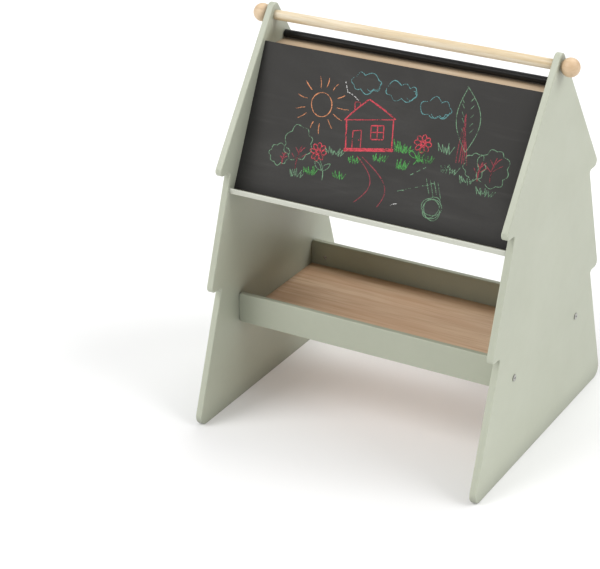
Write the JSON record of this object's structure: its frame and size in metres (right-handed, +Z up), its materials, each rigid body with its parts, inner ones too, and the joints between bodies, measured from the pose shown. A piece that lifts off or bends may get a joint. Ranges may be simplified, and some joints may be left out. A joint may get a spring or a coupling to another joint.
{
  "type": "kids easel",
  "caption": "Double-sided floor easel for children with tree-shaped side panels, a chalkboard, a magnetic whiteboard, pencil ledges, a paper roll rod and a toy bin.",
  "frame": {"origin": "on the floor, midway between the side panels and on the rod's line seen from above", "axes": "+X from the left panel to the right one as seen from the chalkboard side, +Y from the chalkboard side to the whiteboard side, +Z up"},
  "size_m": [0.756, 0.6672, 0.8815],
  "materials": {
    "painted_panel": "satin sage green paint on medium-density fibreboard",
    "painted_rail": "satin sage green paint on medium-density fibreboard",
    "chalkboard_black": "matte chalkboard paint on hardboard",
    "hardboard": "raw hardboard",
    "white_enamel": "glossy white dry-wipe enamel on steel sheet",
    "natural_wood": "clear-lacquered light plywood",
    "black_lacquer": "satin black lacquer on a turned wooden bar",
    "turned_wood": "sanded, clear-lacquered pale wood",
    "knob_wood": "sanded, clear-lacquered beech",
    "dowel_wood": "raw beech",
    "nickel_steel": "satin nickel plating",
    "zinc_steel": "bright zinc plating",
    "cast_zinc": "plain die-cast zinc",
    "brass": "plain brass"
  },
  "bodies": {
    "frame": {"left_side_panel": "painted_panel", "right_side_panel": "painted_panel", "chalkboard": "chalkboard_black", "whiteboard_backing": "hardboard", "whiteboard_steel_face": "white_enamel", "chalkboard_ledge": "painted_rail", "whiteboard_ledge": "painted_rail", "top_slat": "natural_wood", "bin_front_wall": "painted_rail", "bin_rear_wall": "painted_rail", "bin_floor": "natural_wood", "bin_bolts": "nickel_steel", "bin_barrel_nuts": "zinc_steel", "wooden_dowels": "dowel_wood", "cam_locks": "cast_zinc", "cam_pins": "zinc_steel"},
    "roll_rod": {"paper_roll_rod": "turned_wood", "left_knob": "knob_wood", "left_knob_screw": "zinc_steel", "right_knob_stud": "zinc_steel"},
    "end_knob": {"right_knob": "knob_wood", "right_knob_insert": "brass"},
    "guide_bar": {"paper_guide_bar": "black_lacquer"}
  },
  "joints": [
    {"name": "roll_rod_spin", "type": "hinge", "parent": "frame", "child": "roll_rod", "pos_m": [0, 0, 0.855], "axis": [1, 0, 0], "continuous": true},
    {"name": "end_knob_off", "type": "slide", "parent": "roll_rod", "child": "end_knob", "axis": [1, 0, 0], "range_m": [0, 0.03]},
    {"name": "guide_bar_spin", "type": "hinge", "parent": "frame", "child": "guide_bar", "pos_m": [0, 0.038, 0.803], "axis": [1, 0, 0], "continuous": true}
  ]
}
